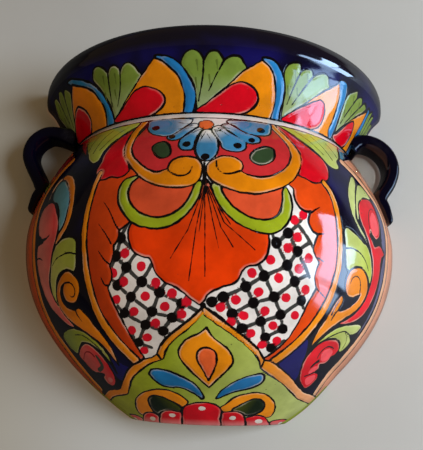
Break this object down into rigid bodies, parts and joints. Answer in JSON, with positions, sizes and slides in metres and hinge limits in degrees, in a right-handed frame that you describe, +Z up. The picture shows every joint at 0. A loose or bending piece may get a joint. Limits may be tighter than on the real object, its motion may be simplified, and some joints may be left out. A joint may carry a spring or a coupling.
{
  "type": "wall planter",
  "caption": "Half-round glazed ceramic wall planter with a flared collar, rolled lip, flat back slab and strap ears, painted with a traditional scroll and petal pattern.",
  "frame": {"origin": "on the wall face of the back slab, on the middle line, at the height of the widest part of the belly", "axes": "+Z up, +Y out of the back towards the wall, -Y is the painted front, +X to the right seen from the front"},
  "size_m": [0.312, 0.127, 0.275],
  "materials": {
    "painted_glaze": "gloss, hand painted",
    "collar_glaze": "gloss, hand painted",
    "cobalt_glaze": "gloss",
    "bare_clay": "matte, unglazed"
  },
  "bodies": {
    "root": {"belly_shell": "painted_glaze", "collar": "collar_glaze", "rolled_lip": "cobalt_glaze", "ear_left": "cobalt_glaze", "ear_right": "cobalt_glaze", "back_slab": "bare_clay", "floor_slab": "bare_clay"}
  },
  "joints": []
}
